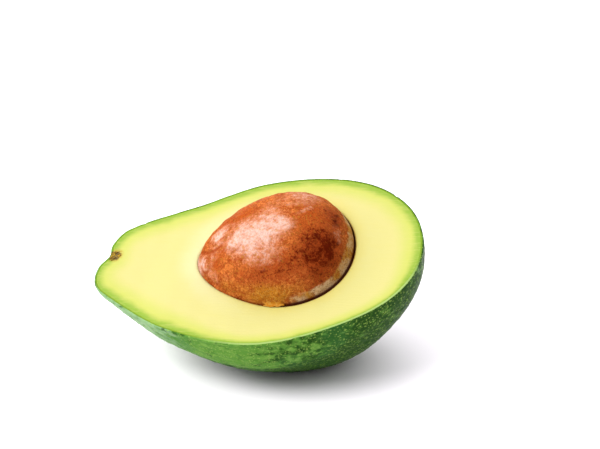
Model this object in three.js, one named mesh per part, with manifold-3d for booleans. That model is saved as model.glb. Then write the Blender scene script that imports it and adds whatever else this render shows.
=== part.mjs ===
// Half an avocado as cut: peel, flesh with the hollow for the seed, the seed lying in it,
// and the woody stem scar at the narrow end.
// Millimetres, +Z up. The half lies on a small flat spot of its peel, with its length along X,
// its narrow end towards -X and its cut face leaning towards -Y.

import * as THREE from "three";
import { mergeVertices } from "three/addons/utils/BufferGeometryUtils.js";
import Module from "manifold-3d";

// Driving dimensions

const HALF_LENGTH = 58;
const BLUNT_REACH = 1.2;
const PEEL_THICKNESS = 0.9;
const FIT_GAP = 0.3;

// The blunt end reaches further from the middle than the stem end.
// The fruit is walked by an angle from 0 at the stem end to 180 degrees at the blunt end.
// These stations lie every 30 degrees of it. The half width there is the fullness times
// the angle's sine, bend moves the cross-section sideways, and depth is its depth
// below the cut for each millimetre of half width.
const STATIONS = [
  { fullness: 54.5, bend: 1.0, depth: 0.6 },
  { fullness: 34.0, bend: -2.2, depth: 0.77 },
  { fullness: 33.0, bend: -5.6, depth: 0.95 },
  { fullness: 38.0, bend: -4.2, depth: 1.07 },
  { fullness: 40.5, bend: -1.2, depth: 1.17 },
  { fullness: 43.0, bend: -0.4, depth: 1.05 },
  { fullness: 45.0, bend: -1.4, depth: 1.06 },
];

// The stem end is slanted, with a dimple where the stem sat.
const NECK_SLANT = 0.3;
const NECK_REACH_POWER = 6;
const DIMPLE_DEPTH = 2;
const DIMPLE_RADIUS = 3.3;
const DIMPLE_SIDE = 0.6;

// Shallow lengthwise facets and lumps of the peel: size, waves round the fruit, waves along it.
const PEEL_WAVES = [
  { height: 0.3, around: 7, along: 1.5, phase: 0.6 },
  { height: 0.22, around: 11, along: 3, phase: 2.1 },
  { height: 0.16, around: 5, along: 7, phase: 4.0 },
];

// The seed is an egg with its narrower tip towards the stem.
const SEED_HALF_LENGTH = 28;
const SEED_HALF_WIDTH = 24;
const SEED_FLATNESS = 0.85;
const SEED_TAPER = 0.19;
const SEED_TIP_PULL = 0.8;
const SEED_TIP_POWER = 10;
const SEED_CENTRE = new THREE.Vector3(6.4, -0.4, -2.6);
const SEED_TURN_DEG = 6.6;
// The hollow is a little larger than the seed, and opens most past its blunt near side.
const HOLLOW_GAP = 0.65;
const HOLLOW_SHIFT = new THREE.Vector3(0.3, -0.2, 0);

// The stem scar, a plug of dry woody tissue let into the dimple. It is straight down to its
// shoulder and rounds off over its nose, both as shares of its depth or radius.
const SCAR_RADIUS = 2.1;
const SCAR_DEPTH = 4.4;
const SCAR_SHOULDER = 0.5;
const SCAR_NOSE_AT = 0.85;
const SCAR_NOSE = 0.65;
const SCAR_RECESS = 0.25;
const SCAR_OUTSIDE = 4;

// How the half lies: the cut face leans towards -Y and the blunt end is raised.
const CUT_LEAN_DEG = 22;
const BLUNT_RISE_DEG = 8;
const REST_SPOT_DEPTH = 1.0;

// Facets round each shape and along it, the size of the cutting blocks, and how close two
// points are that count as one.
const FRUIT_FACETS = [52, 42];
const SEED_FACETS = [40, 28];
const SCAR_FACETS = 16;
const BLOCK = 400;
const SAME_POINT = 1e-4;

// Shapes

const wasm = await Module();
wasm.setup();

function toSolid(geometry) {
  const bare = geometry.clone();
  bare.deleteAttribute("normal");
  bare.deleteAttribute("uv");
  const merged = mergeVertices(bare, SAME_POINT);
  const vertProperties = new Float32Array(merged.attributes.position.array);
  const triVerts = new Uint32Array(merged.index.array);
  return new wasm.Manifold(new wasm.Mesh({ numProp: 3, vertProperties, triVerts }));
}

function toMesh(solid, name, material) {
  const data = solid.getMesh();
  const geometry = new THREE.BufferGeometry();
  geometry.setAttribute("position", new THREE.BufferAttribute(data.vertProperties, data.numProp));
  geometry.setIndex(new THREE.BufferAttribute(data.triVerts, 1));
  geometry.computeVertexNormals();
  const mesh = new THREE.Mesh(geometry, material);
  mesh.name = name;
  return mesh;
}

// Moves every vertex of a unit sphere, whose pole is +Y, to the place that placeAt gives it.
function shapedSphere([around, along], placeAt) {
  const sphere = new THREE.SphereGeometry(1, around, along);
  sphere.deleteAttribute("normal");
  sphere.deleteAttribute("uv");
  const geometry = mergeVertices(sphere, SAME_POINT);
  const position = geometry.attributes.position;
  const direction = new THREE.Vector3();
  for (let i = 0; i < position.count; i += 1) {
    direction.fromBufferAttribute(position, i).normalize();
    const place = placeAt(direction);
    position.setXYZ(i, place.x, place.y, place.z);
  }
  geometry.computeVertexNormals();
  return geometry;
}

// The same surface moved along its normals: inwards for a positive depth.
function inset(geometry, depth) {
  const moved = geometry.clone();
  const { position, normal } = moved.attributes;
  for (let i = 0; i < position.count; i += 1) {
    position.setXYZ(
      i,
      position.getX(i) - depth * normal.getX(i),
      position.getY(i) - depth * normal.getY(i),
      position.getZ(i) - depth * normal.getZ(i),
    );
  }
  return moved;
}

// A smooth curve through one value of the stations, read from 0 at the stem to 1.
function stationCurve(key) {
  const points = STATIONS.map((station, i) => new THREE.Vector2(i, station[key]));
  const curve = new THREE.SplineCurve(points);
  return (share) => curve.getPoint(share).y;
}

const fullnessAt = stationCurve("fullness");
const bendAt = stationCurve("bend");
const depthAt = stationCurve("depth");

// The whole fruit in the frame of its cut: X towards the blunt end, Y across the cut face
// and Z out of it. The direction's Y is 1 at the stem end.
function fruitPlace(direction) {
  const walk = Math.acos(THREE.MathUtils.clamp(direction.y, -1, 1));
  const share = walk / Math.PI;
  const round = Math.atan2(direction.z, direction.x);
  const girth = Math.hypot(direction.x, direction.z);
  let relief = 0;
  for (const wave of PEEL_WAVES) {
    relief += wave.height * Math.sin(wave.around * round + wave.along * walk + wave.phase);
  }
  const halfWidth = fullnessAt(share) * girth + relief * girth * girth;
  const side = halfWidth * Math.cos(round) + bendAt(share);
  const height = halfWidth * depthAt(share) * Math.sin(round);
  const neck = Math.max(direction.y, 0) ** NECK_REACH_POWER;
  const fromDimple = Math.hypot(side - DIMPLE_SIDE, height) / DIMPLE_RADIUS;
  const dimple = direction.y > 0 ? DIMPLE_DEPTH * Math.exp(-(fromDimple ** 2)) : 0;
  const slant = NECK_SLANT * (side - DIMPLE_SIDE) * neck;
  const blunt = BLUNT_REACH * Math.max(-direction.y, 0) ** 2;
  const along = -HALF_LENGTH * direction.y + slant + dimple + blunt;
  return new THREE.Vector3(along, side, height);
}

// The seed about its own centre, with the same axes. The direction's Y is 1 at its tip.
function seedPlace(direction) {
  const width = SEED_HALF_WIDTH * (1 - SEED_TAPER * direction.y);
  const tip = SEED_TIP_PULL * Math.max(direction.y, 0) ** SEED_TIP_POWER;
  return new THREE.Vector3(
    -SEED_HALF_LENGTH * direction.y - tip,
    width * direction.x,
    width * SEED_FLATNESS * direction.z,
  );
}

function seedGeometry(extra) {
  const egg = inset(shapedSphere(SEED_FACETS, seedPlace), -extra);
  egg.rotateZ(THREE.MathUtils.degToRad(SEED_TURN_DEG));
  egg.translate(SEED_CENTRE.x, SEED_CENTRE.y, SEED_CENTRE.z);
  return egg;
}

// A bullet-shaped plug that runs from outside the dimple into the flesh.
function scarGeometry(extra) {
  const radius = SCAR_RADIUS + extra;
  const end = SCAR_DEPTH + extra;
  const profile = [
    new THREE.Vector2(0, -SCAR_OUTSIDE),
    new THREE.Vector2(radius, -SCAR_OUTSIDE),
    new THREE.Vector2(radius, end * SCAR_SHOULDER),
    new THREE.Vector2(radius * SCAR_NOSE, end * SCAR_NOSE_AT),
    new THREE.Vector2(0, end),
  ];
  const plug = new THREE.LatheGeometry(profile, SCAR_FACETS);
  plug.rotateZ(-Math.PI / 2);
  plug.translate(DIMPLE_DEPTH - HALF_LENGTH, DIMPLE_SIDE, 0);
  return plug;
}

// Places a geometry of the cut's frame as the half lies.
function laid(geometry) {
  geometry.rotateX(THREE.MathUtils.degToRad(CUT_LEAN_DEG));
  geometry.rotateY(-THREE.MathUtils.degToRad(BLUNT_RISE_DEG));
  return geometry;
}

// A block that fills everything below the cut face.
function belowCut() {
  const block = new THREE.BoxGeometry(BLOCK, BLOCK, BLOCK);
  block.translate(0, 0, -BLOCK / 2);
  return toSolid(laid(block));
}

// A block that fills everything above a level.
function aboveLevel(level) {
  const block = new THREE.BoxGeometry(BLOCK, BLOCK, BLOCK);
  block.translate(0, 0, level + BLOCK / 2);
  return toSolid(block);
}

// Pieces

const fruit = shapedSphere(FRUIT_FACETS, fruitPlace);
const outside = laid(fruit.clone());
outside.computeBoundingBox();
const restLevel = outside.boundingBox.min.z + REST_SPOT_DEPTH;
const cutBlock = belowCut();

function fruitBelowCut(depth) {
  const whole = toSolid(laid(inset(fruit, depth)));
  return whole.intersect(cutBlock).intersect(aboveLevel(restLevel + depth));
}

const peelOuter = fruitBelowCut(0);
const peelInner = toSolid(laid(inset(fruit, PEEL_THICKNESS))).intersect(
  aboveLevel(restLevel + PEEL_THICKNESS),
);
const scarPocket = toSolid(laid(scarGeometry(FIT_GAP)));
const hollow = seedGeometry(HOLLOW_GAP);
hollow.translate(HOLLOW_SHIFT.x, HOLLOW_SHIFT.y, HOLLOW_SHIFT.z);

const skinSolid = peelOuter.subtract(peelInner).subtract(scarPocket);
const fleshSolid = fruitBelowCut(PEEL_THICKNESS + FIT_GAP)
  .subtract(toSolid(laid(hollow)))
  .subtract(scarPocket);
const seedSolid = toSolid(laid(seedGeometry(0)));
const scarSolid = toSolid(laid(scarGeometry(0)))
  .intersect(toSolid(laid(inset(fruit, SCAR_RECESS))))
  .intersect(cutBlock);

// Materials

const skinMaterial = new THREE.MeshStandardMaterial({ color: 0x2f5f22, roughness: 0.4, metalness: 0 });
const fleshMaterial = new THREE.MeshStandardMaterial({ color: 0xf1e592, roughness: 0.55, metalness: 0 });
const seedMaterial = new THREE.MeshStandardMaterial({ color: 0xa8521f, roughness: 0.45, metalness: 0 });
const scarMaterial = new THREE.MeshStandardMaterial({ color: 0x5c421c, roughness: 0.8, metalness: 0 });

// Assembly, with the middle of its base at the origin

const avocado = new THREE.Group();
avocado.add(toMesh(skinSolid, "skin", skinMaterial));
avocado.add(toMesh(fleshSolid, "flesh", fleshMaterial));
avocado.add(toMesh(seedSolid, "seed", seedMaterial));
avocado.add(toMesh(scarSolid, "stem_scar", scarMaterial));

const extent = new THREE.Box3().setFromObject(avocado);
const middle = extent.getCenter(new THREE.Vector3());
avocado.position.set(-middle.x, -middle.y, -extent.min.z);

export default avocado;
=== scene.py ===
import math

import bpy
import numpy as np
from mathutils import Matrix, Vector


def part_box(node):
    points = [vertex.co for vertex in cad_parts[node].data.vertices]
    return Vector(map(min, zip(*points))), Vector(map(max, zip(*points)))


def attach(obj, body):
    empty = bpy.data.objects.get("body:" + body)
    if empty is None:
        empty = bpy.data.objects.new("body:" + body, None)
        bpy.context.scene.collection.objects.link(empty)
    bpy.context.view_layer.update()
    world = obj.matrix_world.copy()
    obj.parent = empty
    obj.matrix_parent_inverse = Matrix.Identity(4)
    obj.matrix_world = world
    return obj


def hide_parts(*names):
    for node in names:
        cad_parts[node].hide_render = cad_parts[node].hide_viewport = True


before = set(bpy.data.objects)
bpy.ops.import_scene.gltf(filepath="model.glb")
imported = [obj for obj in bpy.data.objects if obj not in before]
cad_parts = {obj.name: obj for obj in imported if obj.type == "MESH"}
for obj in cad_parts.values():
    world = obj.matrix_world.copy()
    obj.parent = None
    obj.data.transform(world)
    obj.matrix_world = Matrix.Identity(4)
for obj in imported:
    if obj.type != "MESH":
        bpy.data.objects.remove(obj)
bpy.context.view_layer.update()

bl_info = {
    "name": "Avocado Half",
    "version": (1, 0, 0),
    "blender": (4, 5, 0),
    "location": "3D View > Sidebar > Avocado",
    "description": "Dresses the avocado half: peel, flesh, seed with its coat, and stem scar",
    "category": "Add Mesh",
}

# Shapes are worked out in millimetres in the frame of the cut: X towards the blunt end,
# Y across the cut face, Z out of it. Forms and values are those of the solids, except for
# the hollow, which hugs the seed's tip more closely.

MM = 0.001
TURN = 2 * math.pi
FACE_LEAN = math.radians(22)
BLUNT_RISE = math.radians(8)
STATION_FULLNESS = (54.5, 34.0, 33.0, 38.0, 40.5, 43.0, 45.0)
STATION_BEND = (1.0, -2.2, -5.6, -4.2, -1.2, -0.4, -1.4)
STATION_DEPTH = (0.6, 0.77, 0.95, 1.07, 1.17, 1.05, 1.06)
BLUNT_REACH = 1.2
NECK_SLANT = 0.3
NECK_REACH_POWER = 6
DIMPLE_DEPTH = 2.0
DIMPLE_RADIUS = 3.3
DIMPLE_SIDE = 0.6
# Height, waves round the fruit, waves along it, phase
PEEL_WAVES = ((0.3, 7, 1.5, 0.6), (0.22, 11, 3, 2.1), (0.16, 5, 7, 4.0))
SEED_FLATNESS = 0.85
SEED_TAPER = 0.19
SEED_TIP_PULL = 0.8
SEED_TIP_POWER = 10
SEED_CENTRE = np.array((6.4, -0.4, -2.6))
SEED_TURN = math.radians(6.6)
HOLLOW_SHIFT = np.array((0.1, -0.35, 0.0))
REST_SPOT_DEPTH = 1.0
REST_SPOT_SOFTNESS = 0.12
SCAR_RADIUS = 2.1
SCAR_DEPTH = 4.4
SCAR_RECESS = 0.25

# The pebbled peel lies this far inside the solid's surface, and the flesh this far inside the peel
PEEL_INSET = 0.15
FLESH_CLEARANCE = 0.03
PEEL_SPOKES = 400
PEEL_RINGS = 125

# Layers of lumps: height, pitch and random seed
PEBBLES = ((0.045, 3.4, 21), (0.03, 1.7, 22))
KNIFE_WAVES = ((0.11, 26, 11), (0.03, 9, 12))
COAT_LUMPS = ((0.07, 5, 32), (0.04, 1.9, 33))
# The pebbles fade in over this height below the rim
PEBBLE_FADE = 3.0

# The hollow hugs the seed at its tip and opens to a crescent past its blunt near side
TIGHT_GAP = 0.06
OPEN_GAP = 0.75

# Marks on the seed. A place is its share of the seed's length from the tip and its turn about
# the long axis in degrees, where 90 is straight up out of the cut and 180 is the near side.
CREASE = (
    (0.015, 60), (0.03, 78), (0.05, 92), (0.08, 102), (0.12, 106), (0.17, 105), (0.22, 102), (0.27, 99),
)
LOWER_CREASE = ((0.1, 110), (0.16, 112), (0.22, 112), (0.29, 115), (0.36, 119))
FILM_EDGE = ((0.42, 120), (0.52, 122), (0.61, 118), (0.66, 108), (0.67, 96), (0.64, 86))
LIGHT_STREAK = ((0.68, 89), (0.71, 87), (0.75, 82), (0.78, 78))
# A spot is its place, its radius in millimetres and its strength.
# Spots of pale film; the palest, on the upper side, also stand for a painted highlight
FILM_AND_HIGHLIGHT_SPOTS = (
    (0.3, 107, 5.0, 0.9), (0.38, 106, 6.0, 0.95), (0.47, 104, 6.0, 0.95), (0.55, 101, 5.5, 0.9),
    (0.62, 97, 3.5, 1.0), (0.34, 93, 4.0, 0.7), (0.45, 92, 4.5, 0.6), (0.53, 90, 4.0, 0.5),
    (0.38, 121, 4.5, 0.55), (0.5, 123, 5.0, 0.6), (0.57, 118, 4.0, 0.4), (0.17, 88, 3.8, 0.8),
    (0.21, 84, 3.5, 0.7), (0.14, 80, 3.0, 0.5), (0.13, 112, 3.0, 0.6), (0.01, 110, 3.5, 1.0),
    (0.02, 140, 3.0, 0.9), (0.05, 120, 3.0, 0.9), (0.08, 140, 3.5, 0.5), (0.13, 152, 3.0, 0.4),
    (0.55, 75, 6.0, 0.25), (0.65, 68, 6.0, 0.25), (0.74, 62, 5.0, 0.45), (0.67, 50, 4.5, 0.65),
    (0.78, 50, 4.0, 0.45), (0.93, 99, 3.0, 0.45), (0.94, 112, 2.5, 0.35), (0.22, 145, 3.0, 0.3),
)
RED_SPOTS = (
    (0.2, 60, 4.5, 0.7), (0.24, 68, 4.0, 0.7), (0.34, 68, 5.0, 0.9), (0.38, 77, 3.5, 0.6),
    (0.22, 112, 3.0, 0.7), (0.15, 126, 3.5, 0.6), (0.72, 95, 6.0, 0.3), (0.79, 86, 6.0, 0.6),
    (0.82, 98, 5.5, 0.6), (0.5, 140, 6.0, 0.4), (0.66, 130, 6.0, 0.4), (0.32, 138, 4.0, 0.4),
)
DARK_SPOTS = (
    (0.83, 124, 7.0, 0.75), (0.88, 132, 6.5, 0.8), (0.8, 141, 6.0, 0.7), (0.9, 112, 6.0, 0.6),
    (0.91, 72, 4.5, 0.75), (0.92, 84, 3.5, 0.6), (0.73, 128, 7.0, 0.3), (0.66, 142, 6.0, 0.25),
    (0.54, 139, 6.0, 0.35), (0.44, 140, 5.0, 0.3), (0.84, 97, 6.0, 0.2),
    (0.35, 145, 4.5, 0.35), (0.05, 76, 3.0, 0.3), (0.22, 64, 4.0, 0.3),
)
AMBER_SPOTS = (
    (0.49, 166, 5.0, 1.0), (0.4, 163, 4.5, 0.6), (0.58, 161, 4.0, 0.6), (0.3, 160, 5.0, 0.4),
    (0.2, 157, 4.0, 0.4), (0.69, 157, 4.0, 0.4),
)

# The photograph's frame, and the pixel where the middle of the cut face shows in it
PHOTO_WIDTH = 600
PHOTO_HEIGHT = 449
FACE_PIXEL = (258.6, 252.35)
FACE_DISTANCE = 0.6349
LENS = 108.0
SENSOR = 36.0
CAMERA_AZIMUTH = math.radians(12)
CAMERA_ELEVATION = math.radians(26)


# Forms


def smooth_curve(values, share):
    """A smooth curve through evenly spaced values, read at shares from 0 to 1."""
    values = np.asarray(values, float)
    last = len(values) - 1
    at = np.clip(share, 0, 1) * last
    i = np.minimum(np.floor(at).astype(int), last - 1)
    w = at - i
    start = values[i]
    end = values[i + 1]
    slope_in = (end - values[np.maximum(i - 1, 0)]) / 2
    slope_out = (values[np.minimum(i + 2, last)] - start) / 2
    cubic = 2 * start - 2 * end + slope_in + slope_out
    square = -3 * start + 3 * end - 2 * slope_in - slope_out
    return ((cubic * w + square) * w + slope_in) * w + start


def dome(spoke, elevation):
    """Unit directions: the spoke turns in the cut from the stem end, elevation is above the cut."""
    spoke, elevation = np.broadcast_arrays(spoke, elevation)
    flat = np.cos(elevation)
    return np.stack([flat * np.sin(spoke), flat * np.cos(spoke), np.sin(elevation)], -1)


def egg(from_tip, turn):
    """Unit directions: from_tip is the angle from the tip, turn goes about the long axis."""
    from_tip, turn = np.broadcast_arrays(from_tip, turn)
    girth = np.sin(from_tip)
    return np.stack([girth * np.cos(turn), np.cos(from_tip), girth * np.sin(turn)], -1)


def fruit_place(direction):
    """The fruit's surface; the direction's Y is 1 at the stem end."""
    half_length = bpy.context.scene.avocado_fruit.half_length / MM
    side, stemward, up = np.moveaxis(direction, -1, 0)
    walk = np.arccos(np.clip(stemward, -1, 1))
    around = np.arctan2(up, side)
    girth = np.hypot(side, up)
    relief = sum(h * np.sin(n * around + m * walk + p) for h, n, m, p in PEEL_WAVES)
    half_width = smooth_curve(STATION_FULLNESS, walk / math.pi) * girth + relief * girth * girth
    across = half_width * np.cos(around) + smooth_curve(STATION_BEND, walk / math.pi)
    height = half_width * smooth_curve(STATION_DEPTH, walk / math.pi) * np.sin(around)
    from_dimple = np.hypot(across - DIMPLE_SIDE, height) / DIMPLE_RADIUS
    dimple = np.where(stemward > 0, DIMPLE_DEPTH * np.exp(-(from_dimple ** 2)), 0)
    slant = NECK_SLANT * (across - DIMPLE_SIDE) * np.maximum(stemward, 0) ** NECK_REACH_POWER
    blunt = BLUNT_REACH * np.maximum(-stemward, 0) ** 2
    return np.stack([-half_length * stemward + slant + dimple + blunt, across, height], -1)


def seed_place(direction, outwards=0.0):
    """The seed's surface, moved outwards, in the frame of the cut; the direction's Y is 1 at its tip."""
    sizes = bpy.context.scene.avocado_seed
    side, tipward, up = np.moveaxis(direction, -1, 0)
    width = sizes.half_width / MM * (1 - SEED_TAPER * tipward)
    tip = SEED_TIP_PULL * np.maximum(tipward, 0) ** SEED_TIP_POWER
    long = -sizes.half_length / MM * tipward - tip - outwards * tipward
    across = (width + outwards) * side
    height = (width * SEED_FLATNESS + outwards) * up
    c, s = math.cos(SEED_TURN), math.sin(SEED_TURN)
    return np.stack([c * long - s * across, s * long + c * across, height], -1) + SEED_CENTRE


def hollow_place(direction):
    """The hollow's wall, which leaves the seed most room past its blunt near side."""
    side, tipward, up = np.moveaxis(direction, -1, 0)
    openness = ease(-tipward - side, 0.0, 1.3)
    gap = TIGHT_GAP + (OPEN_GAP - TIGHT_GAP) * openness
    return seed_place(direction, gap) + HOLLOW_SHIFT * openness[..., None]


def grid_normals(points):
    """Outward normals of a grid of rings that close on themselves."""
    normal = np.cross(np.gradient(points, axis=0), np.roll(points, -1, 1) - np.roll(points, 1, 1))
    normal /= np.maximum(np.linalg.norm(normal, axis=-1, keepdims=True), 1e-9)
    outward = np.sum(normal * (points - points.reshape(-1, 3).mean(0)), -1).mean()
    return normal if outward > 0 else -normal


def lumps(points, pitch, random_seed, waves=28):
    """Smooth random lumps about one pitch across, with a spread of about 1."""
    random = np.random.default_rng(random_seed)
    direction = random.normal(size=(waves, 3))
    direction /= np.linalg.norm(direction, axis=1, keepdims=True)
    turns = direction / (pitch * random.uniform(0.75, 1.5, (waves, 1)))
    phase = random.uniform(0, TURN, waves)
    total = np.zeros(points.shape[:-1])
    for turn, start in zip(turns, phase):
        total += np.sin(TURN * (points @ turn) + start)
    return total / math.sqrt(waves / 2)


def layered(points, layers):
    """The lumps of several layers put together."""
    return sum(height * lumps(points, pitch, random_seed) for height, pitch, random_seed in layers)


def ease(values, low, high):
    """0 at low, 1 at high and smooth between; low may be the larger."""
    t = np.clip((values - low) / (high - low), 0, 1)
    return t * t * (3 - 2 * t)


def nearest(points, line, batch=4000):
    """Distance of each point to the nearest of a dense line's points."""
    flat = points.reshape(-1, 3)
    found = np.empty(len(flat))
    for i in range(0, len(flat), batch):
        gap = flat[i : i + batch, None, :] - line[None, :, :]
        found[i : i + batch] = np.sqrt((gap ** 2).sum(-1).min(1))
    return found.reshape(points.shape[:-1])


def knife_wave(points):
    """How far the knife left the face from flat: long shallow waves."""
    return layered(points * np.array((1.0, 0.6, 0.0)), KNIFE_WAVES)


# Placing


def lean(points):
    """Leans the face towards -Y, then raises the blunt end."""
    c, s = math.cos(FACE_LEAN), math.sin(FACE_LEAN)
    x, y, z = np.moveaxis(points, -1, 0)
    y, z = c * y - s * z, s * y + c * z
    c, s = math.cos(BLUNT_RISE), math.sin(BLUNT_RISE)
    return np.stack([c * x - s * z, y, s * x + c * z], -1)


def face_centre():
    """Where the middle of the cut face lies in the model's frame, from the box of the solid peel."""
    spokes = np.linspace(0, TURN, 240, endpoint=False)
    elevations = np.radians(np.linspace(-90, 0, 120))[:, None]
    shape = lean(fruit_place(dome(spokes, elevations))).reshape(-1, 3)
    low, high = (np.array(corner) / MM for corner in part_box("skin"))
    centre = (low + high) / 2 - (shape.min(0) + shape.max(0)) / 2
    centre[2] = low[2] - shape[:, 2].min() - REST_SPOT_DEPTH
    return centre


def settled(points, level=0.0):
    """Puts points of the cut's frame where the half lies, flattened softly at a level."""
    placed = lean(points) + face_centre()
    above = (placed[..., 2] - level) / REST_SPOT_SOFTNESS
    soft = np.where(above > 12, above, np.log1p(np.exp(np.clip(above, -40, 12))))
    placed[..., 2] = level + soft * REST_SPOT_SOFTNESS
    return placed


def ring_piece(name, start, rings, end, attributes=None):
    """A closed piece of rings between two end points. An attribute is its start, rings and end."""
    count, spokes = rings.shape[:2]
    points = np.concatenate([start[None], rings.reshape(-1, 3), end[None]]) * MM
    grid = 1 + np.arange(count * spokes).reshape(count, spokes)
    right = np.roll(grid, -1, 1)
    quads = np.stack([grid[:-1], right[:-1], right[1:], grid[1:]], -1).reshape(-1, 4)
    last = len(points) - 1
    faces = quads.tolist()
    faces += [(0, b, a) for a, b in zip(grid[0].tolist(), right[0].tolist())]
    faces += [(last, a, b) for a, b in zip(grid[-1].tolist(), right[-1].tolist())]
    mesh = bpy.data.meshes.new(name)
    mesh.from_pydata(points.tolist(), [], faces)
    mesh.polygons.foreach_set("use_smooth", [True] * len(faces))
    for key, (first, values, final) in (attributes or {}).items():
        numbers = np.concatenate([[first], np.ravel(values), [final]]).astype(np.float32)
        mesh.attributes.new(key, "FLOAT", "POINT").data.foreach_set("value", numbers)
    corner = points[quads]
    flux = np.cross(corner[:, 1] - corner[:, 0], corner[:, 2] - corner[:, 0])
    if (flux * (corner[:, 0] - points.mean(0))).sum() < 0:
        mesh.flip_normals()
    mesh.update()
    piece = bpy.data.objects.new(name, mesh)
    bpy.context.scene.collection.objects.link(piece)
    return piece


def dress(piece, material, node=None):
    """Gives a piece its material, slot and body, and hides the solid it stands for."""
    piece.data.materials.append(material)
    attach(piece, "root")
    if node:
        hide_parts(node)


def peel_outside():
    """Rings of the peel's pebbled outside from its lowest point up to the rim, and their normals."""
    spokes = np.linspace(0, TURN, PEEL_SPOKES, endpoint=False)
    elevations = np.radians(np.linspace(-89.3, 0, PEEL_RINGS))[:, None]
    rings = fruit_place(dome(spokes, elevations))
    normals = grid_normals(rings)
    normals[-1, :, 2] = 0
    pebbles = layered(rings, PEBBLES) * ease(-rings[..., 2], 0, PEBBLE_FADE)
    outwards = np.minimum(pebbles, PEEL_INSET) - PEEL_INSET
    return rings + normals * outwards[..., None], normals


def lowest_point(depth):
    """The pole under the peel, a depth inside it."""
    pole = fruit_place(dome(np.zeros(1), np.full(1, -math.pi / 2)))[0]
    return pole + np.array((0, 0, depth))


def seed_line(marks, steps=14):
    """A dense line on the seed through marks of share and turn."""
    marks = np.array(marks, float)
    at = np.linspace(0, 1, steps * len(marks))
    share = smooth_curve(marks[:, 0], at)
    turn = np.radians(smooth_curve(marks[:, 1], at))
    return seed_place(egg(np.arccos(np.clip(1 - 2 * share, -1, 1)), turn))


def near_line(points, marks, radius):
    """1 on a line drawn on the seed, and fading over a radius."""
    return np.exp(-((nearest(points, seed_line(marks)) / radius) ** 2))


def spots(points, marks):
    """The soft round spots of the seed put together, from 0 to their strength."""
    bare = np.ones(points.shape[:-1])
    for share, turn, radius, strength in marks:
        middle = seed_place(egg(np.array([math.acos(1 - 2 * share)]), np.radians([turn])))
        bare *= 1 - strength * np.exp(-((nearest(points, middle) / radius) ** 2))
    return 1 - bare


# Shader maths


class Socket:
    """A shader value that Python's operators work on."""

    def __init__(self, shader, link):
        self.shader = shader
        self.link = link

    def math(self, operation, first, second):
        return self.shader.node("Math", {"operation": operation}, {0: first, 1: second})

    def __add__(self, other):
        return self.math("ADD", self, other)

    def __sub__(self, other):
        return self.math("SUBTRACT", self, other)

    def __rsub__(self, other):
        return self.math("SUBTRACT", other, self)

    def __mul__(self, other):
        return self.math("MULTIPLY", self, other)

    __radd__ = __add__
    __rmul__ = __mul__

    def ease(self, low, high):
        """0 at low, 1 at high and smooth between; low may be the larger."""
        return self.shader.node(
            "MapRange", {"interpolation_type": "SMOOTHSTEP"}, {0: self, 1: low, 2: high, 3: 0.0, 4: 1.0}
        )


class Shader:
    """One material and the nodes that feed its surface."""

    def __init__(self, name, **constants):
        self.material = bpy.data.materials.new(name)
        self.material.use_nodes = True
        self.nodes = self.material.node_tree.nodes
        self.links = self.material.node_tree.links
        self.nodes.clear()
        self.surface = self.nodes.new("ShaderNodeBsdfPrincipled")
        output = self.nodes.new("ShaderNodeOutputMaterial")
        self.links.new(self.surface.outputs[0], output.inputs["Surface"])
        self.set(**constants)

    def node(self, kind, settings=None, values=None, output=0):
        """Adds a node, sets it up, fills its sockets and returns one of its outputs."""
        made = self.nodes.new("ShaderNode" + kind)
        for key, value in (settings or {}).items():
            setattr(made, key, value)
        for key, value in (values or {}).items():
            self.feed(made.inputs[key], value)
        return Socket(self, made.outputs[output])

    def feed(self, socket, value):
        if isinstance(value, Socket):
            self.links.new(value.link, socket)
        else:
            socket.default_value = value

    def set(self, **fields):
        """Feeds sockets of the surface by their names in lower case."""
        names = {socket.name.lower().replace(" ", "_"): socket for socket in self.surface.inputs}
        for key, value in fields.items():
            self.feed(names[key], value)

    def attribute(self, name):
        return self.node("Attribute", {"attribute_name": name}, output="Fac")

    def place(self):
        return self.node("TexCoord", output="Object")

    def vector(self, operation, first, second):
        return self.node("VectorMath", {"operation": operation}, {0: first, 1: second})

    def noise(self, where, pitch, detail=3.0, roughness=0.55):
        """Cloudy noise about one pitch across, in millimetres, from 0 to 1."""
        values = {"Vector": where, "Scale": 1 / (pitch * MM), "Detail": detail, "Roughness": roughness}
        return self.node("TexNoise", {}, values)

    def cells(self, where, pitch):
        """Distance to the nearest of scattered points, from 0 on a point."""
        return self.node("TexVoronoi", {}, {"Vector": where, "Scale": 1 / (pitch * MM)})

    def mix(self, factor, first, second):
        """The first colour where the factor is 0 and the second where it is 1."""
        return self.node("Mix", {"data_type": "RGBA"}, {0: factor, 6: rgba(first), 7: rgba(second)}, 2)

    def bump(self, height, depth):
        """Feeds the surface's normal with a relief that is depth millimetres high."""
        relief = self.node("Bump", {}, {"Strength": 1.0, "Distance": depth * MM, "Height": height})
        self.set(normal=relief)


def rgba(colour):
    return colour if isinstance(colour, Socket) else (*colour, 1.0)


# Materials


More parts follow.
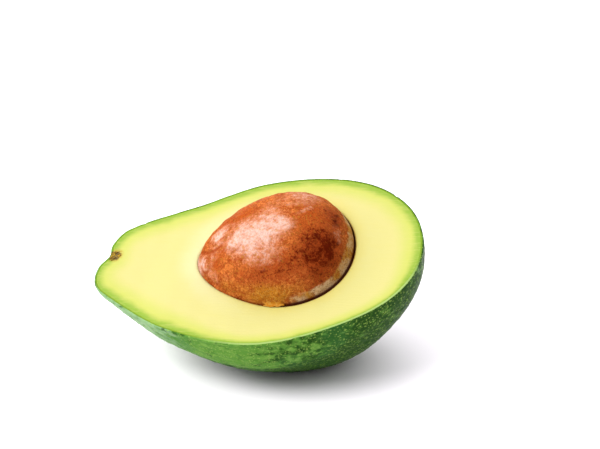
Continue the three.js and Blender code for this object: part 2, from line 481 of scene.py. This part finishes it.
def peel_material():
    look = bpy.context.scene.avocado_fruit
    s = Shader("Avocado Peel", specular_ior_level=0.02)
    where = s.place()
    # The painted shade mask darkens the peel's green low down and towards the blunt end
    painted_shade = s.attribute("painted_shade")
    cloud = s.noise(where, 15, 4.0)
    grain = s.noise(where, 0.7, 2.0, 0.6)
    fine = s.noise(where, 2.2, 3.0, 0.6)
    streak = s.noise(s.vector("MULTIPLY", where, (0.16, 1.0, 1.0)), 2.0, 3.0, 0.6)
    tone = cloud * 0.5 + streak * 0.5 + (fine - 0.5) * 0.6 - painted_shade * 0.3
    colour = s.mix(tone.ease(0.24, 0.46), look.peel_dark, look.peel_green)
    light = (streak + (fine - 0.5) * 0.4 - painted_shade * 0.12).ease(0.46, 0.64)
    colour = s.mix(light * 0.6, colour, look.peel_light)
    colour = s.mix(s.noise(where, 19, 2.0).ease(0.5, 0.68) * 0.5, colour, look.peel_blue)
    # Painted shade: the peel turns to its dark green low down and towards the blunt end
    colour = s.mix(painted_shade.ease(0.6, 1.3) * 0.8, colour, look.peel_dark)
    # Painted reflection: pale streaks where the peel would mirror the white room, at the neck's near side
    # and at the blunt end
    painted_reflection = s.attribute("painted_reflection") + (streak - 0.5) * 1.6 + (fine - 0.5) * 1.2
    colour = s.mix(painted_reflection.ease(0.35, 1.1) * 0.8, colour, look.peel_painted_reflection)
    drift = s.vector("MULTIPLY", s.noise(where, 1.4), (1.0 * MM,) * 3)
    spot = s.cells(s.vector("ADD", where, drift), 1.1)
    many = s.noise(where, 5, 2.0) + painted_shade * 0.08
    speck = (spot + (grain - 0.5) * 0.5).ease(0.38, 0.14) * many.ease(0.34, 0.52)
    colour = s.mix(speck * 0.65, colour, look.speck)
    large = s.cells(s.vector("ADD", where, drift), 2.3) + (fine - 0.5) * 0.6
    colour = s.mix(large.ease(0.22, 0.08) * many.ease(0.4, 0.6) * 0.5, colour, look.speck)
    colour = s.mix(grain.ease(0.58, 0.7) * 0.3, colour, look.speck)
    blemish = (s.cells(where, 9) + (grain - 0.5) * 0.06).ease(0.08, 0.04)
    colour = s.mix(blemish * 0.8, colour, look.blemish)
    nicks = s.attribute("under_rim") * s.noise(where, 4, 2.0).ease(0.52, 0.64)
    colour = s.mix(nicks * 0.8, colour, look.peel_dark)
    inwards = s.attribute("inwards") + (grain - 0.5) * 0.3
    colour = s.mix(inwards.ease(0.35, 0.65), colour, look.rim_green)
    colour = s.mix(inwards.ease(0.7, 1.0), colour, look.flesh_lime)
    colour = s.mix(inwards.ease(0.04, 0.25) * s.attribute("pale_rim") * 0.8, colour, look.rim_pale)
    s.set(base_color=colour, roughness=0.34 + grain * 0.14)
    s.bump(grain * 0.4 + spot.ease(0.05, 0.6) * 0.5 + streak * 1.5 + fine * 0.8, 0.11)
    return s.material


def flesh_material():
    look = bpy.context.scene.avocado_fruit
    s = Shader("Avocado Flesh", specular_ior_level=0.25)
    s.set(subsurface_weight=0.12, subsurface_scale=2.5 * MM, subsurface_radius=(1.0, 0.75, 0.3))
    where = s.place()
    cloud = s.noise(where, 8, 4.0)
    rim = s.attribute("rim_mm") + (cloud - 0.5) * 3.0
    colour = s.mix(rim.ease(3.5, 11.0), look.flesh_green, look.flesh_butter)
    colour = s.mix(rim.ease(4.6, 1.4), colour, look.flesh_lime)
    streak = s.noise(s.vector("MULTIPLY", where, (0.05, 1.0, 1.0)), 0.8, 3.0, 0.6)
    colour = s.mix(streak.ease(0.45, 0.7) * 0.25, colour, look.flesh_fibre)
    hollow = s.attribute("hollow_mm")
    near = hollow + (cloud - 0.5) * 5.0
    tip = s.attribute("tip_side")
    colour = s.mix(near.ease(10.0, 1.0) * tip * 0.6, colour, look.flesh_pale)
    # Beside the seed's blunt side the flesh turns a deeper yellow: partly its own tint, partly painted
    # shade by the hollow
    colour = s.mix(near.ease(5.5, 0.0) * (1 - tip) * 0.6, colour, look.flesh_gold_and_shade)
    stain = (hollow + (s.noise(where, 1.2) - 0.5) * 0.5).ease(0.42, 0.12)
    colour = s.mix(stain * (1 - tip * 0.6) * 0.7, colour, look.hollow_brown)
    scar = s.attribute("scar_mm") + (s.noise(where, 0.8) - 0.5) * 3.0
    colour = s.mix(scar.ease(3.6, 2.0) * 0.8, colour, look.scar_ochre)
    colour = s.mix(scar.ease(2.6, 1.8) * 0.8, colour, look.scar_dark)
    colour = s.mix(s.attribute("wall_mm").ease(0.1, 0.9) * 0.95, colour, look.hollow_brown)
    s.set(base_color=colour, roughness=0.42 + cloud * 0.14)
    s.bump(streak * 0.7 + s.noise(where, 0.8) * 0.5, 0.06)
    return s.material


def seed_material():
    look = bpy.context.scene.avocado_seed
    s = Shader("Seed Coat", specular_ior_level=0.01)
    where = s.place()
    grain = s.noise(where, 0.42, 1.0, 0.5)
    fleck = s.noise(where, 0.85, 2.0, 0.6)
    mottle = s.noise(where, 2.4, 4.0, 0.7)
    cloud = s.noise(where, 7, 4.0, 0.6)
    smear = s.noise(s.vector("MULTIPLY", where, (0.35, 1.0, 1.0)), 1.5, 3.0, 0.6)
    uneven = (cloud - 0.5) * 1.2 + (mottle - 0.5) * 1.6 + (fleck - 0.5) * 1.0 + (grain - 0.5) * 0.5
    # Pale film of the coat, and a painted highlight where it is palest
    film_and_highlight = s.attribute("film_and_highlight")
    film_and_highlight = film_and_highlight + (uneven * 0.7 + (smear - 0.5) * 0.6) * film_and_highlight.ease(0.0, 0.35)
    speckle = mottle * 0.35 + fleck * 0.4 + grain * 0.25
    colour = s.mix(speckle.ease(0.43, 0.6), look.coat_rust, look.coat_orange)
    colour = s.mix((s.attribute("red") + uneven).ease(0.2, 1.0) * 0.85, colour, look.coat_red)
    amber = (s.attribute("amber") * (1 + uneven)).ease(0.15, 0.9)
    colour = s.mix(amber * 0.8, colour, s.mix(fleck.ease(0.4, 0.6), look.coat_amber, look.coat_gold))
    dark = s.attribute("dark") + uneven * 1.1
    colour = s.mix(dark.ease(0.15, 0.75) * 0.7, colour, look.coat_rust)
    colour = s.mix(dark.ease(0.45, 1.1) * 0.95, colour, look.coat_maroon)
    colour = s.mix(film_and_highlight.ease(0.15, 0.8) * 0.85, colour, look.coat_salmon)
    # Painted highlight: the thickest film turns near white where the key light would shine on it
    colour = s.mix(film_and_highlight.ease(0.55, 1.2) * 0.9, colour, look.film_white_and_highlight)
    tan = (s.attribute("tan") * (1 + uneven * 1.3)).ease(0.25, 1.0)
    colour = s.mix(tan * 0.85, colour, s.mix(cloud.ease(0.4, 0.62), look.coat_gold, look.coat_tan))
    pores = grain.ease(0.53, 0.64) * (1 - film_and_highlight.ease(0.4, 1.2) * 0.6)
    colour = s.mix(pores * 0.6, colour, look.coat_maroon)
    glints = fleck.ease(0.44, 0.34) * (1 - s.attribute("dark"))
    colour = s.mix(glints * 0.4, colour, look.coat_gold)
    # The folds and the pleat troughs by the tip turn rust: partly the coat's own colour, partly painted
    # shade in the creases
    colour = s.mix(s.attribute("crease").ease(0.15, 1.0) * 0.8, colour, look.coat_rust)
    # Painted shade: the seed turns maroon where it dips below the cut into the hollow on its blunt half
    colour = s.mix(s.attribute("painted_gap_shade") * 0.9, colour, look.coat_maroon)
    s.set(base_color=colour, roughness=0.42 + grain * 0.2)
    s.bump(grain * 0.3 + mottle * 0.9 + fleck * 0.4 + smear * 0.5, 0.12)
    return s.material


def scrap_material():
    look = bpy.context.scene.avocado_seed
    s = Shader("Loose Coat", specular_ior_level=0.05)
    fleck = s.noise(s.place(), 0.8)
    s.set(base_color=s.mix(fleck.ease(0.4, 0.62), look.coat_amber, look.coat_gold), roughness=0.45)
    s.bump(fleck, 0.08)
    return s.material


def scar_material():
    look = bpy.context.scene.avocado_fruit
    s = Shader("Stem Scar", specular_ior_level=0.2)
    fleck = s.noise(s.place(), 1.1, 4.0, 0.7)
    s.set(base_color=s.mix(fleck.ease(0.47, 0.6), look.scar_dark, look.scar_ochre), roughness=0.8)
    s.bump(fleck, 0.25)
    return s.material


def table_material():
    s = Shader("White Table", roughness=0.9, specular_ior_level=0.1)
    s.set(base_color=(0.97, 0.93, 0.985, 1.0))
    return s.material


# Properties


def colour_property(name, description, default):
    return bpy.props.FloatVectorProperty(
        name=name, description=description, default=default, subtype="COLOR", size=3, min=0.0, max=1.0
    )


def length_property(name, description, millimetres):
    return bpy.props.FloatProperty(
        name=name, description=description, default=millimetres * MM, unit="LENGTH", min=0.0
    )


def amount_property(name, description, default):
    return bpy.props.FloatProperty(name=name, description=description, default=default, min=0.0)


class AvocadoFruit(bpy.types.PropertyGroup):
    half_length: length_property("Half Length", "Half of the fruit's length", 58.0)
    peel_thickness: length_property("Peel", "Thickness of the peel", 0.9)
    # Peel Dark is the peel's darker clouds and also the colour of its painted shade low down and at the
    # blunt end
    peel_dark: colour_property("Peel Dark", "Darker clouds of the peel", (0.013, 0.052, 0.004))
    peel_green: colour_property("Peel Green", "Main green of the peel", (0.08, 0.21, 0.026))
    peel_blue: colour_property("Peel Blue", "Cooler patches of the peel", (0.036, 0.144, 0.027))
    peel_light: colour_property("Peel Light", "Lighter streaks of the peel", (0.15, 0.3, 0.05))
    # Pale green of the painted reflection of the white room on the peel
    peel_painted_reflection: colour_property("Painted Reflection", "Pale waxy bloom of the peel", (0.234, 0.378, 0.198))
    speck: colour_property("Speck", "Small pale dots of the peel", (0.24, 0.38, 0.07))
    blemish: colour_property("Blemish", "Small dry spots of the peel", (0.054, 0.0315, 0.009))
    rim_green: colour_property("Rim Green", "Green just inside the peel", (0.126, 0.216, 0.018))
    rim_pale: colour_property("Rim Pale", "Pale cut edge of the peel on the near side", (0.3, 0.42, 0.13))
    flesh_lime: colour_property("Flesh Lime", "Flesh beside the peel", (0.18, 0.29, 0.012))
    flesh_green: colour_property("Flesh Green", "Flesh a few millimetres in", (0.396, 0.414, 0.072))
    flesh_butter: colour_property("Flesh Butter", "Flesh in the middle", (0.468, 0.427, 0.149))
    # Partly the flesh's own tint, partly painted shade beside the seed's blunt side
    flesh_gold_and_shade: colour_property("Flesh Gold", "Flesh beside the seed's blunt end", (0.477, 0.405, 0.09))
    flesh_fibre: colour_property("Fibre", "Faint lengthwise fibres", (0.468, 0.423, 0.117))
    flesh_pale: colour_property("Flesh Pale", "Flesh by the seed's tip", (0.522, 0.495, 0.279))
    hollow_brown: colour_property("Hollow Wall", "Stained wall of the hollow", (0.27, 0.108, 0.018))
    scar_dark: colour_property("Scar Dark", "Dark flecks of the stem scar", (0.045, 0.0225, 0.0036))
    scar_ochre: colour_property("Scar Ochre", "Light flecks of the stem scar", (0.38, 0.22, 0.01))


class AvocadoSeed(bpy.types.PropertyGroup):
    half_length: length_property("Half Length", "Half of the seed's length", 28.0)
    half_width: length_property("Half Width", "Half of the seed's width at its middle", 24.0)
    coat_rust: colour_property("Rust", "Main brown of the coat", (0.24, 0.036, 0.006))
    coat_orange: colour_property("Orange", "Orange grain of the coat", (0.6, 0.175, 0.035))
    coat_red: colour_property("Red", "Red band over the tip", (0.33, 0.055, 0.006))
    coat_salmon: colour_property("Salmon", "Thin film and light grain", (0.46, 0.175, 0.09))
    # Film white is the coat's pale film and also its painted highlight
    film_white_and_highlight: colour_property("Film White", "Thick pale film", (0.56, 0.37, 0.31))
    coat_maroon: colour_property("Maroon", "Darkest patches of the coat", (0.0675, 0.0036, 0.00027))
    coat_tan: colour_property("Tan", "Pale band by the edge", (0.54, 0.38, 0.21))
    coat_gold: colour_property("Gold", "Golden places of the band", (0.42, 0.2, 0.027))
    coat_amber: colour_property("Amber", "Amber places and the loose flap", (0.378, 0.135, 0.0054))


class AvocadoStage(bpy.types.PropertyGroup):
    key: amount_property("Key", "Strength of the wide light at the front left", 2.25)
    evenly: amount_property("Evenly", "Brightness of the white room all round", 0.42)
    overhead: amount_property("Overhead", "Brightness the room gains overhead", 1.7)
    backwards: amount_property("Backwards", "Brightness the room gains behind the fruit", 0.65)
    sideways: amount_property("Sideways", "Brightness the room gains to the left", 0.9)


# Operators


class AVOCADO_OT_peel(bpy.types.Operator):
    """Makes the peel as a closed shell with its cut rim"""

    bl_idname = "avocado.make_peel"
    bl_label = "Make Peel"

    # Steps across the cut rim: share of the thickness from the outside, and height in millimetres
    RIM = ((0.0, -0.14), (0.05, -0.04), (0.16, 0.0), (0.45, 0.02), (0.8, 0.0), (1.0, -0.06))

    def execute(self, context):
        thickness = context.scene.avocado_fruit.peel_thickness / MM
        outer, normals = peel_outside()
        rim = self.cut_rim(outer[-1], normals[-1], thickness)
        inner = (outer - normals * thickness)[-3::-4]
        shares = [np.full(outer.shape[1], share) for share, _ in self.RIM]
        inwards = np.concatenate([np.zeros(outer[:-1].shape[:2]), shares, np.ones(inner.shape[:2])])
        rings = np.concatenate([settled(outer[:-1]), settled(rim), settled(inner, thickness)])
        bottom = settled(lowest_point(0))
        inner_bottom = settled(lowest_point(thickness), thickness)
        along, across, up = np.moveaxis(np.concatenate([outer[:-1], rim, inner]), -1, 0)
        down = -up
        # Painted shade: grows towards the blunt end and low down the peel
        painted_shade = 0.9 * ease(along, -20, 45) + 0.9 * ease(down, 12, 23)
        # Painted reflection at the neck's near side and along the blunt end
        painted_reflection = np.maximum(ease(along, -12, -38) * ease(across, 4, -10), 0.3 * ease(along, 55, 58))
        attributes = {
            "inwards": (0.0, inwards, 1.0),
            "painted_shade": (1.0, painted_shade, 1.0),
            "painted_reflection": (0.0, painted_reflection, 0.0),
            "under_rim": (0.0, ease(down, 1.8, 0.3) * ease(along, 25, -10), 0.0),
            "pale_rim": (0.0, ease(across, -2, -18) * ease(along, -22, 5), 0.0),
        }
        piece = ring_piece("peel", bottom, rings, inner_bottom, attributes)
        dress(piece, peel_material(), "skin")
        return {"FINISHED"}

    def cut_rim(self, edge, outward, thickness):
        nicks = ease(lumps(edge, 7, 23), 1.7, 2.3)
        rings = []
        for share, height in self.RIM:
            ring = edge - outward * (share * thickness + 0.35 * nicks * (1 - share))[:, None]
            ring[:, 2] = height + knife_wave(ring)
            rings.append(ring)
        return np.array(rings)


class AVOCADO_OT_flesh(bpy.types.Operator):
    """Makes the flesh with its cut face and the hollow for the seed"""

    bl_idname = "avocado.make_flesh"
    bl_label = "Make Flesh"

    # Millimetres that a distance holds where it has no meaning
    FAR = 30.0
    HOLLOW_RINGS = 60
    FACE_RINGS = 76

    def execute(self, context):
        fruit = context.scene.avocado_fruit
        depth = fruit.peel_thickness / MM + FLESH_CLEARANCE
        outer, normals = peel_outside()
        wall = (outer - normals * depth)[-3::-4]
        hollow, bottom = self.hollow(outer.shape[1])
        face = self.face(hollow[-1], outer[-1] - normals[-1] * depth)
        flat = face * (1, 1, 0)
        scar = np.array([(DIMPLE_DEPTH + SCAR_DEPTH / 2 - fruit.half_length / MM, DIMPLE_SIDE, 0.0)])
        hollow_mm = nearest(flat, hollow[-1] * (1, 1, 0))
        rim_mm = nearest(flat, outer[-1] * (1, 1, 0))
        rim_mm = rim_mm * (1 + 0.9 * ease(face[..., 1], -5, -25) * ease(face[..., 0], -25, 5))
        tip_side = ease(face[..., 0], 6, -24)
        attributes = {
            "rim_mm": self.column(self.FAR, hollow, rim_mm, wall, 0.0),
            "hollow_mm": self.column(0.0, hollow, hollow_mm, wall, self.FAR),
            "tip_side": self.column(0.0, hollow, tip_side, wall, 0.0),
            "scar_mm": self.column(self.FAR, hollow, nearest(flat, scar), wall, self.FAR),
            "wall_mm": self.column(self.FAR, hollow, 0 * hollow_mm, wall, 0.0),
        }
        attributes["wall_mm"][1][: len(hollow) - 1] = -hollow[:-1, :, 2]
        face[..., 2] -= 0.3 * np.exp(-((hollow_mm / 0.45) ** 2))
        rings = np.concatenate([settled(hollow[:-1]), settled(face), settled(wall, depth)])
        under = settled(lowest_point(depth), depth)
        piece = ring_piece("flesh_body", settled(bottom), rings, under, attributes)
        dress(piece, flesh_material(), "flesh")
        return {"FINISHED"}

    def column(self, inside, hollow, face, wall, outside):
        """One attribute over the hollow, the face and the outer wall."""
        values = [np.full(hollow[:-1].shape[:2], inside), face, np.full(wall.shape[:2], outside)]
        return inside, np.concatenate(values), outside

    def hollow(self, spokes):
        """Rings from the bottom of the hollow up to its edge in the cut, and the bottom point."""
        around = np.linspace(0, TURN, spokes, endpoint=False)
        probe = np.radians(np.linspace(-90, 30, 241))
        heights = hollow_place(dome(around, probe[:, None]))[..., 2]
        edge = np.array([np.interp(0.0, heights[:, i], probe) for i in range(spokes)])
        start = np.radians(-89)
        climb = np.linspace(0, 1, self.HOLLOW_RINGS)[:, None] ** 0.8
        rings = hollow_place(dome(around, start + (edge - start) * climb))
        bottom = hollow_place(dome(np.zeros(1), np.full(1, -math.pi / 2)))[0]
        return rings, bottom

    def face(self, inner, rim):
        """Rings across the cut face from the hollow's edge to the peel, closer at both."""
        share = np.linspace(0, 1, self.FACE_RINGS)
        share = (0.5 - 0.5 * np.cos(math.pi * share)) * 0.6 + share * 0.4
        rings = inner + (rim - inner) * share[:, None, None]
        rings[..., 2] = knife_wave(rings)
        return rings


class AVOCADO_OT_seed(bpy.types.Operator):
    """Makes the seed with the folds, film and stains of its coat, a painted highlight on the film and
    painted shade in the folds and below the cut
    """

    bl_idname = "avocado.make_seed"
    bl_label = "Make Seed"

    # Relief of the coat in millimetres, sunk as a whole so that it stays inside the solid
    FILM_HEIGHT = 0.12
    FILM_EDGE_HEIGHT = 0.1
    STREAK_HEIGHT = 0.06
    CREASE_DEPTH = 0.32
    LOWER_CREASE_DEPTH = 0.12
    PLEAT_HEIGHT = 0.07
    SINK = 0.18
    CLEARANCE = 0.03
    PLEATS = 15

    def execute(self, context):
        from_tip = np.linspace(0, math.pi, 262)[1:-1, None]
        turn = np.linspace(0, TURN, 360, endpoint=False)
        rings = seed_place(egg(from_tip, turn))
        normals = grid_normals(rings)
        share = (1 - np.cos(from_tip)) / 2
        crease = near_line(rings, CREASE, 0.8) * ease(share, 0.28, 0.15)
        lower_crease = near_line(rings, LOWER_CREASE, 0.8)
        film_edge = near_line(rings, FILM_EDGE, 0.7)
        streak = near_line(rings, LIGHT_STREAK, 1.2)
        film_and_highlight = spots(rings, FILM_AND_HIGHLIGHT_SPOTS)
        near_tip = np.exp(-(((share - 0.07) / 0.07) ** 2))
        pleats = np.sin(turn * self.PLEATS + 4 * lumps(rings, 12, 31)) * near_tip
        relief = self.FILM_HEIGHT * ease(film_and_highlight, 0.3, 0.7) + self.FILM_EDGE_HEIGHT * film_edge
        relief += self.STREAK_HEIGHT * streak - self.CREASE_DEPTH * crease
        relief += self.PLEAT_HEIGHT * pleats - self.LOWER_CREASE_DEPTH * lower_crease
        relief += layered(rings, COAT_LUMPS) - self.SINK
        relief = relief * ease(rings[..., 2], -1, 2) - self.CLEARANCE
        # Fold lines and pleat troughs, which also take painted shade
        folds = np.maximum(crease, 0.5 * lower_crease)
        attributes = {
            "film_and_highlight": (0.6, np.maximum(film_and_highlight, 0.45 * streak), 0.0),
            "red": (0.0, spots(rings, RED_SPOTS), 0.0),
            "dark": (0.0, spots(rings, DARK_SPOTS), 0.0),
            "amber": (0.0, spots(rings, AMBER_SPOTS), 0.0),
            "tan": (0.0, self.edge_band(rings, share), 1.0),
            # Painted shade on the seed below the cut, in the hollow's gap
            "painted_gap_shade": (0.0, ease(rings[..., 2], 0.2, -0.5) * ease(share, 0.45, 0.65), 1.0),
            "crease": (0.0, np.maximum(folds, np.maximum(-pleats, 0) * 0.8), 0.0),
        }
        tip = seed_place(egg(np.zeros(1), np.zeros(1)))[0]
        blunt = seed_place(egg(np.full(1, math.pi), np.zeros(1)))[0]
        rings = settled(rings + normals * relief[..., None])
        piece = ring_piece("seed_body", settled(tip), rings, settled(blunt), attributes)
        dress(piece, seed_material(), "seed")
        return {"FINISHED"}

    def edge_band(self, rings, share):
        """The pale band above the cut, from the near side round the blunt end, which it climbs."""
        width = 2.8 + 1.8 * ease(share, 0.88, 0.97)
        low = ease(rings[..., 2] / width, 1.5, 0.6)
        return np.maximum(low * ease(share, 0.5, 0.7), 0.15 * low * ease(share, 0.02, 0.1))


class AVOCADO_OT_loose_coat(bpy.types.Operator):
    """Makes the flap of torn coat that hangs from the seed onto the cut face"""

    bl_idname = "avocado.make_loose_coat"
    bl_label = "Make Loose Coat"

    HALF_LENGTH = 3.3
    UP_SEED = 1.9
    OVER_FACE = 1.1
    HALF_THICKNESS = 0.05
    # Where it hangs: the share and turn on the seed, and the seed's radius there
    SHARE = 0.5
    SIDE = math.radians(172.8)
    SEED_RADIUS = 22

    def execute(self, context):
        turn = np.linspace(0, TURN, 64, endpoint=False)
        radius = np.linspace(0, 1, 9)[1:, None]
        ragged = 1 + 0.16 * np.sin(3 * turn + 0.6) + 0.12 * np.sin(8 * turn)
        ragged += 0.07 * np.sin(17 * turn + 2)
        along = radius * ragged * np.cos(turn)
        down = radius * ragged * np.sin(turn)
        sheet = self.drape(along, down)
        lift = np.array((0, -0.3, 1.0)) * self.HALF_THICKNESS
        middle = self.drape(np.zeros(1), np.zeros(1))[0]
        rings = np.concatenate([sheet - lift, sheet[::-1] + lift])
        piece = ring_piece("loose_coat", settled(middle - lift), settled(rings), settled(middle + lift))
        dress(piece, scrap_material())
        return {"FINISHED"}

    def drape(self, along, down):
        """Places of the flap: up the seed where down is negative, out over the face where positive."""
        seed_length = 2 * bpy.context.scene.avocado_seed.half_length / MM
        share = self.SHARE + along * self.HALF_LENGTH / seed_length
        from_tip = np.arccos(1 - 2 * share)
        turn = self.SIDE + np.minimum(down, 0) * self.UP_SEED / self.SEED_RADIUS
        seed = seed_place(egg(from_tip, turn), 0.06)
        seed += 0.35 * np.minimum(down, 0)[..., None] * (0, -1, 1)
        seed[..., 1] -= np.maximum(down, 0) * self.OVER_FACE + ease(down, -0.25, 0.1) * 0.25
        over = ease(down, -0.1, 0.3)
        seed[..., 2] = seed[..., 2] * (1 - over) + (knife_wave(seed) + 0.14) * over
        return seed


class AVOCADO_OT_scar(bpy.types.Operator):
    """Makes the dry plug of the stem scar in the dimple"""

    bl_idname = "avocado.make_stem_scar"
    bl_label = "Make Stem Scar"

    def execute(self, context):
        half_length = context.scene.avocado_fruit.half_length / MM
        mouth = np.array((DIMPLE_DEPTH - half_length + SCAR_RECESS, DIMPLE_SIDE, 0.0))
        share = np.linspace(0, 1, 30)[1:-1, None]
        turn = np.linspace(0, TURN, 72, endpoint=False)
        radius = SCAR_RADIUS * np.clip(1.1 - share ** 3, 0, 1) * (1 - 0.4 * ease(share, 0.5, 1.0))
        along = share * SCAR_DEPTH + 0 * turn
        rings = np.stack([along, radius * np.cos(turn), radius * np.sin(turn)], -1)
        rings[..., 1:] *= 1 + 0.12 * lumps(rings, 1.8, 41)[..., None]
        top = 0.05 + 0.16 * lumps(rings, 1.3, 42) + knife_wave(rings + mouth)
        rings[..., 2] = np.minimum(rings[..., 2], top)
        start = settled(mouth + (-0.1, 0.0, -0.6))
        end = settled(mouth + (SCAR_DEPTH, 0.0, -0.5))
        piece = ring_piece("stem_scar_plug", start, settled(rings + mouth), end)
        dress(piece, scar_material(), "stem_scar")
        return {"FINISHED"}


class AVOCADO_OT_stage(bpy.types.Operator):
    """Makes the white table, the soft studio light and the camera"""

    bl_idname = "avocado.make_stage"
    bl_label = "Make Stage"

    TABLE_HALF = 3.0
    KEY_PLACE = (-0.48, -0.46, 0.74)
    KEY_DEGREES = 34

    def execute(self, context):
        look = context.scene.avocado_stage
        self.table()
        self.room(context.scene, look)
        self.soft_light("key", look.key, self.KEY_PLACE, self.KEY_DEGREES)
        self.camera(context.scene)
        context.scene.view_settings.view_transform = "Standard"
        return {"FINISHED"}

    def table(self):
        half = self.TABLE_HALF
        corners = [(-half, -half, 0), (half, -half, 0), (half, half, 0), (-half, half, 0)]
        mesh = bpy.data.meshes.new("table")
        mesh.from_pydata(corners, [], [(0, 1, 2, 3)])
        mesh.materials.append(table_material())
        table = bpy.data.objects.new("table", mesh)
        bpy.context.scene.collection.objects.link(table)

    def room(self, scene, look):
        """White all round, brighter overhead, behind the fruit and to the left."""
        world = bpy.data.worlds.new("White Room")
        world.use_nodes = True
        nodes = world.node_tree.nodes
        links = world.node_tree.links
        background = nodes["Background"]
        background.inputs["Color"].default_value = (1.0, 1.0, 1.0, 1.0)
        gain = nodes.new("ShaderNodeVectorMath")
        gain.operation = "DOT_PRODUCT"
        gain.inputs[1].default_value = (-look.sideways, look.backwards, look.overhead)
        links.new(nodes.new("ShaderNodeTexCoord").outputs["Generated"], gain.inputs[0])
        brightness = nodes.new("ShaderNodeMath")
        brightness.operation = "ADD"
        brightness.inputs[1].default_value = look.evenly
        links.new(gain.outputs["Value"], brightness.inputs[0])
        links.new(brightness.outputs[0], background.inputs["Strength"])
        scene.world = world

    def soft_light(self, name, strength, place, degrees):
        """A far light in the direction of a place that looks some degrees wide."""
        light = bpy.data.lights.new(name, "SUN")
        light.energy = strength
        light.angle = math.radians(degrees)
        lamp = bpy.data.objects.new(name, light)
        lamp.location = place
        lamp.rotation_euler = (-lamp.location).to_track_quat("-Z", "Y").to_euler()
        bpy.context.scene.collection.objects.link(lamp)

    def camera(self, scene):
        """Looks from the photograph's angle, with the cut face's middle on its pixel."""
        level = math.cos(CAMERA_ELEVATION)
        right = Vector((math.cos(CAMERA_AZIMUTH), math.sin(CAMERA_AZIMUTH), 0))
        back = Vector((level * right.y, -level * right.x, math.sin(CAMERA_ELEVATION)))
        up = back.cross(right)
        metres_a_pixel = FACE_DISTANCE * SENSOR / LENS / PHOTO_WIDTH
        across = (FACE_PIXEL[0] - PHOTO_WIDTH / 2) * metres_a_pixel
        above = (PHOTO_HEIGHT / 2 - FACE_PIXEL[1]) * metres_a_pixel
        lens = bpy.data.cameras.new("camera")
        lens.lens = LENS
        lens.sensor_width = SENSOR
        lens.sensor_fit = "HORIZONTAL"
        camera = bpy.data.objects.new("camera", lens)
        place = Vector(face_centre() * MM) + back * FACE_DISTANCE - right * across - up * above
        camera.matrix_world = Matrix.Translation(place) @ Matrix((right, up, back)).transposed().to_4x4()
        scene.collection.objects.link(camera)
        scene.camera = camera


class AVOCADO_PT_panel(bpy.types.Panel):
    """Lists the operators and the sizes and colours they use"""

    bl_idname = "AVOCADO_PT_panel"
    bl_label = "Avocado Half"
    bl_space_type = "VIEW_3D"
    bl_region_type = "UI"
    bl_category = "Avocado"

    def draw(self, context):
        for operator in OPERATORS:
            self.layout.operator(operator.bl_idname)
        for group in (context.scene.avocado_fruit, context.scene.avocado_seed, context.scene.avocado_stage):
            box = self.layout.box()
            for key in group.bl_rna.properties.keys():
                if key not in {"rna_type", "name"}:
                    box.prop(group, key)


OPERATORS = (
    AVOCADO_OT_stage,
    AVOCADO_OT_peel,
    AVOCADO_OT_flesh,
    AVOCADO_OT_seed,
    AVOCADO_OT_loose_coat,
    AVOCADO_OT_scar,
)
GROUPS = (AvocadoFruit, AvocadoSeed, AvocadoStage)


def register():
    for kind in (*GROUPS, *OPERATORS, AVOCADO_PT_panel):
        bpy.utils.register_class(kind)
    bpy.types.Scene.avocado_fruit = bpy.props.PointerProperty(type=AvocadoFruit)
    bpy.types.Scene.avocado_seed = bpy.props.PointerProperty(type=AvocadoSeed)
    bpy.types.Scene.avocado_stage = bpy.props.PointerProperty(type=AvocadoStage)


def unregister():
    del bpy.types.Scene.avocado_stage
    del bpy.types.Scene.avocado_seed
    del bpy.types.Scene.avocado_fruit
    for kind in reversed((*GROUPS, *OPERATORS, AVOCADO_PT_panel)):
        bpy.utils.unregister_class(kind)


def main():
    register()
    bpy.ops.avocado.make_stage()
    bpy.ops.avocado.make_peel()
    bpy.ops.avocado.make_flesh()
    bpy.ops.avocado.make_seed()
    bpy.ops.avocado.make_loose_coat()
    bpy.ops.avocado.make_stem_scar()


if __name__ == "__main__":
    main()
